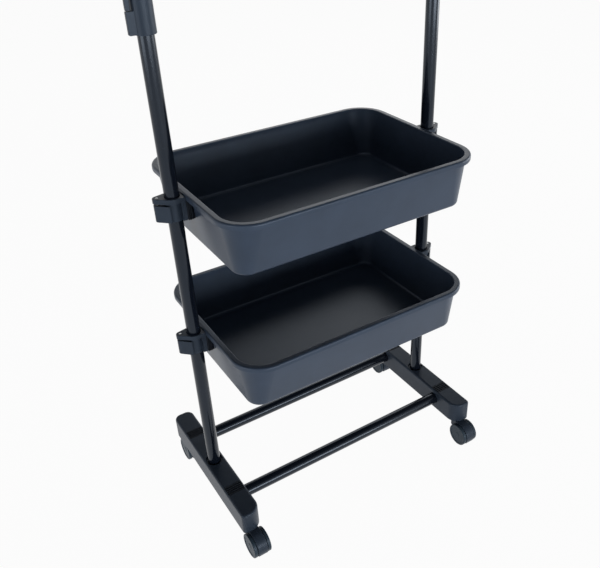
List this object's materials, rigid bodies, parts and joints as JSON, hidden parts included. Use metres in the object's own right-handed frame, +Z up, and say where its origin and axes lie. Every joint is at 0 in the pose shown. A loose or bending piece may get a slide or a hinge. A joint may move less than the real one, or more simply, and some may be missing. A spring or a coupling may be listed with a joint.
{
  "type": "two-tray salon trolley",
  "caption": "Rolling salon trolley: height-adjustable plastic trays clamped between a pair of posts, castered feet, telescopic upper frame.",
  "frame": {"origin": "on the floor, under the middle of the trolley's bounding box", "axes": "+X along the trays' length, towards the right-hand post; -Y to the front, the way the casters trail; +Z up"},
  "size_m": [0.475, 0.3063, 0.9505],
  "materials": {
    "tray_plastic": "semi-gloss dark slate polypropylene with a fine moulded grain",
    "moulding": "satin anthracite moulding",
    "wheel_plastic": "satin dark grey nylon",
    "black_tube": "glossy black powder coat on round steel tube",
    "pin_steel": "bright zinc-plated steel"
  },
  "bodies": {
    "base": {"foot_left": "moulding", "post_left": "black_tube", "sleeve_left": "moulding", "flip_pin_left": "pin_steel", "screw_cover_front_left": "moulding", "screw_cover_rear_left": "moulding", "rod_screw_front_left": "pin_steel", "rod_screw_rear_left": "pin_steel", "foot_right": "moulding", "post_right": "black_tube", "sleeve_right": "moulding", "flip_pin_right": "pin_steel", "screw_cover_front_right": "moulding", "screw_cover_rear_right": "moulding", "rod_screw_front_right": "pin_steel", "rod_screw_rear_right": "pin_steel", "cross_rod_front": "black_tube", "cross_rod_rear": "black_tube"},
    "lower_tray": {"tray_lower": "tray_plastic", "tray_bracket_lower_left": "moulding", "clamp_collar_lower_left": "moulding", "clamp_pin_lower_left": "pin_steel", "tray_bracket_lower_right": "moulding", "clamp_collar_lower_right": "moulding", "clamp_pin_lower_right": "pin_steel"},
    "upper_tray": {"tray_upper": "tray_plastic", "tray_bracket_upper_left": "moulding", "clamp_collar_upper_left": "moulding", "clamp_pin_upper_left": "pin_steel", "tray_bracket_upper_right": "moulding", "clamp_collar_upper_right": "moulding", "clamp_pin_upper_right": "pin_steel"},
    "lower_left_clamp_lever": {"clamp_lever_lower_left": "moulding"},
    "lower_right_clamp_lever": {"clamp_lever_lower_right": "moulding"},
    "upper_left_clamp_lever": {"clamp_lever_upper_left": "moulding"},
    "upper_right_clamp_lever": {"clamp_lever_upper_right": "moulding"},
    "upper_frame": {"inner_tube_left": "black_tube", "inner_tube_right": "black_tube", "elbow_left": "moulding", "elbow_right": "moulding", "crossbar": "black_tube"},
    "left_flip_lever": {"flip_lever_left": "moulding"},
    "right_flip_lever": {"flip_lever_right": "moulding"},
    "front_left_caster": {"caster_hood_front_left": "moulding", "caster_axle_front_left": "pin_steel"},
    "front_left_inner_wheel": {"wheel_inner_front_left": "wheel_plastic"},
    "front_left_outer_wheel": {"wheel_outer_front_left": "wheel_plastic"},
    "front_right_caster": {"caster_hood_front_right": "moulding", "caster_axle_front_right": "pin_steel"},
    "front_right_inner_wheel": {"wheel_inner_front_right": "wheel_plastic"},
    "front_right_outer_wheel": {"wheel_outer_front_right": "wheel_plastic"},
    "rear_left_caster": {"caster_hood_rear_left": "moulding", "caster_axle_rear_left": "pin_steel"},
    "rear_left_inner_wheel": {"wheel_inner_rear_left": "wheel_plastic"},
    "rear_left_outer_wheel": {"wheel_outer_rear_left": "wheel_plastic"},
    "rear_right_caster": {"caster_hood_rear_right": "moulding", "caster_axle_rear_right": "pin_steel"},
    "rear_right_inner_wheel": {"wheel_inner_rear_right": "wheel_plastic"},
    "rear_right_outer_wheel": {"wheel_outer_rear_right": "wheel_plastic"}
  },
  "joints": [
    {"name": "lower_tray_height", "type": "slide", "parent": "base", "child": "lower_tray", "axis": [0, 0, 1], "range_m": [-0.15, 0.06]},
    {"name": "upper_tray_height", "type": "slide", "parent": "base", "child": "upper_tray", "axis": [0, 0, 1], "range_m": [-0.06, 0.19]},
    {"name": "lower_left_clamp_lever_swing", "type": "hinge", "parent": "lower_tray", "child": "lower_left_clamp_lever", "pos_m": [-0.2315, 0.01415, 0.325], "axis": [0, 0, -1], "range_deg": [0, 100]},
    {"name": "lower_right_clamp_lever_swing", "type": "hinge", "parent": "lower_tray", "child": "lower_right_clamp_lever", "pos_m": [0.2315, 0.01415, 0.325], "axis": [0, 0, 1], "range_deg": [0, 100]},
    {"name": "upper_left_clamp_lever_swing", "type": "hinge", "parent": "upper_tray", "child": "upper_left_clamp_lever", "pos_m": [-0.2315, 0.01415, 0.541], "axis": [0, 0, -1], "range_deg": [0, 100]},
    {"name": "upper_right_clamp_lever_swing", "type": "hinge", "parent": "upper_tray", "child": "upper_right_clamp_lever", "pos_m": [0.2315, 0.01415, 0.541], "axis": [0, 0, 1], "range_deg": [0, 100]},
    {"name": "upper_frame_height", "type": "slide", "parent": "base", "child": "upper_frame", "axis": [0, 0, 1], "range_m": [0, 0.18]},
    {"name": "left_flip_lever_swing", "type": "hinge", "parent": "base", "child": "left_flip_lever", "pos_m": [-0.2296, 0.00515, 0.828], "axis": [0, 1, 0], "range_deg": [0, 100]},
    {"name": "right_flip_lever_swing", "type": "hinge", "parent": "base", "child": "right_flip_lever", "pos_m": [0.2296, 0.00515, 0.828], "axis": [0, -1, 0], "range_deg": [0, 100]},
    {"name": "front_left_caster_swivel", "type": "hinge", "parent": "base", "child": "front_left_caster", "pos_m": [-0.2125, -0.11585, 0.042], "axis": [0, 0, 1], "continuous": true},
    {"name": "front_left_inner_wheel_spin", "type": "hinge", "parent": "front_left_caster", "child": "front_left_inner_wheel", "pos_m": [-0.20085, -0.13235, 0.02], "axis": [1, 0, 0], "continuous": true},
    {"name": "front_left_outer_wheel_spin", "type": "hinge", "parent": "front_left_caster", "child": "front_left_outer_wheel", "pos_m": [-0.22415, -0.13235, 0.02], "axis": [1, 0, 0], "continuous": true},
    {"name": "front_right_caster_swivel", "type": "hinge", "parent": "base", "child": "front_right_caster", "pos_m": [0.2125, -0.11585, 0.042], "axis": [0, 0, 1], "continuous": true},
    {"name": "front_right_inner_wheel_spin", "type": "hinge", "parent": "front_right_caster", "child": "front_right_inner_wheel", "pos_m": [0.20085, -0.13235, 0.02], "axis": [1, 0, 0], "continuous": true},
    {"name": "front_right_outer_wheel_spin", "type": "hinge", "parent": "front_right_caster", "child": "front_right_outer_wheel", "pos_m": [0.22415, -0.13235, 0.02], "axis": [1, 0, 0], "continuous": true},
    {"name": "rear_left_caster_swivel", "type": "hinge", "parent": "base", "child": "rear_left_caster", "pos_m": [-0.2125, 0.13415, 0.042], "axis": [0, 0, 1], "continuous": true},
    {"name": "rear_left_inner_wheel_spin", "type": "hinge", "parent": "rear_left_caster", "child": "rear_left_inner_wheel", "pos_m": [-0.20085, 0.11765, 0.02], "axis": [1, 0, 0], "continuous": true},
    {"name": "rear_left_outer_wheel_spin", "type": "hinge", "parent": "rear_left_caster", "child": "rear_left_outer_wheel", "pos_m": [-0.22415, 0.11765, 0.02], "axis": [1, 0, 0], "continuous": true},
    {"name": "rear_right_caster_swivel", "type": "hinge", "parent": "base", "child": "rear_right_caster", "pos_m": [0.2125, 0.13415, 0.042], "axis": [0, 0, 1], "continuous": true},
    {"name": "rear_right_inner_wheel_spin", "type": "hinge", "parent": "rear_right_caster", "child": "rear_right_inner_wheel", "pos_m": [0.20085, 0.11765, 0.02], "axis": [1, 0, 0], "continuous": true},
    {"name": "rear_right_outer_wheel_spin", "type": "hinge", "parent": "rear_right_caster", "child": "rear_right_outer_wheel", "pos_m": [0.22415, 0.11765, 0.02], "axis": [1, 0, 0], "continuous": true}
  ]
}
